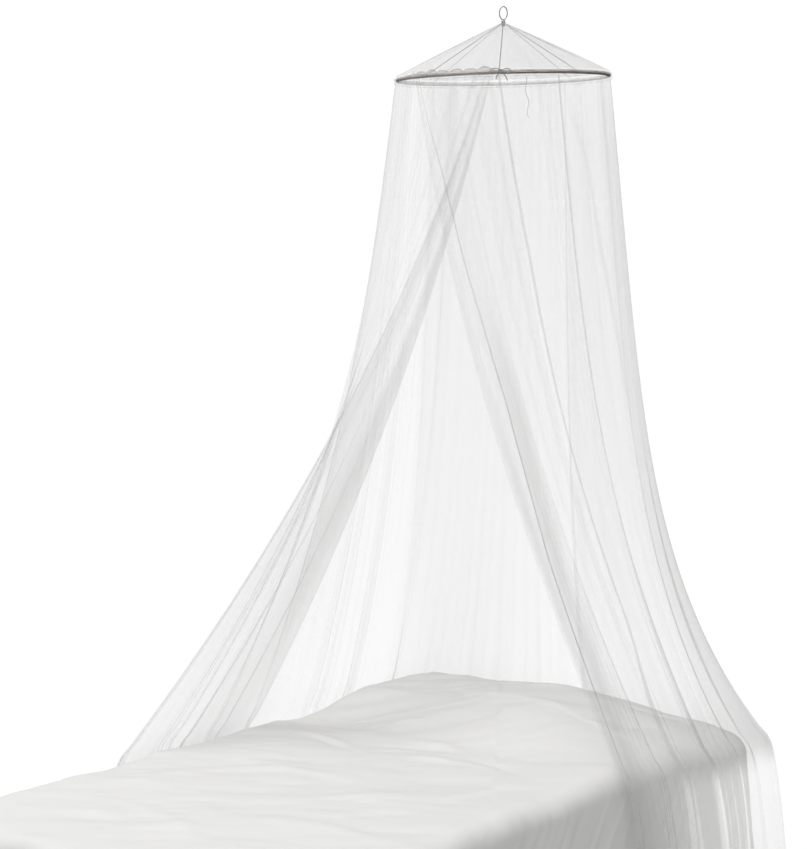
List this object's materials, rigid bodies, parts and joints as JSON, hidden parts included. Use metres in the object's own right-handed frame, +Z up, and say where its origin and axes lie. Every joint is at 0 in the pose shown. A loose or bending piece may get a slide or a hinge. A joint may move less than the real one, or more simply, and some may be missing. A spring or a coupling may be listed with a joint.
{
  "type": "mosquito net canopy on a hoop over a covered single bed",
  "caption": "Sheer hooped bed canopy hung from a ceiling eye, its panels parted as a doorway and draped over a covered single bed.",
  "frame": {"origin": "top of the hanging eye, where the ceiling hook holds it, on the hoop's axis", "axes": "+Z up, +Y towards the head of the bed, +X the bed's right side seen from its foot"},
  "size_m": [1.4495, 2.1618, 2.6015],
  "materials": {
    "net": "sheer white knitted netting",
    "cord": "twisted off-white cord",
    "hoop_metal": "grey-brown satin tube seen through netting",
    "eye_metal": "bright wire and crimped sleeve",
    "bed_cover": "soft matt white cotton",
    "mattress": "white ticking",
    "bed_frame": "plain pale paint"
  },
  "bodies": {
    "root": {"hanging_eye": "eye_metal", "ferrule": "eye_metal", "hoop": "hoop_metal", "hanger_cord_front": "cord", "hanger_cord_front_left": "cord", "hanger_cord_front_right": "cord", "hanger_cord_back_left": "cord", "hanger_cord_back_right": "cord", "cone_net": "net", "heading_band": "net", "net_panel_left": "net", "net_panel_right": "net", "bow_knot": "cord", "bow_loop_left": "cord", "bow_loop_right": "cord", "bow_end_left": "cord", "bow_end_right": "cord", "tie_tail": "cord", "mattress": "mattress", "pillow": "mattress", "bed_base": "bed_frame", "bed_leg_foot_left": "bed_frame", "bed_leg_head_left": "bed_frame", "bed_leg_foot_right": "bed_frame", "bed_leg_head_right": "bed_frame", "bed_cover": "bed_cover"}
  },
  "joints": []
}
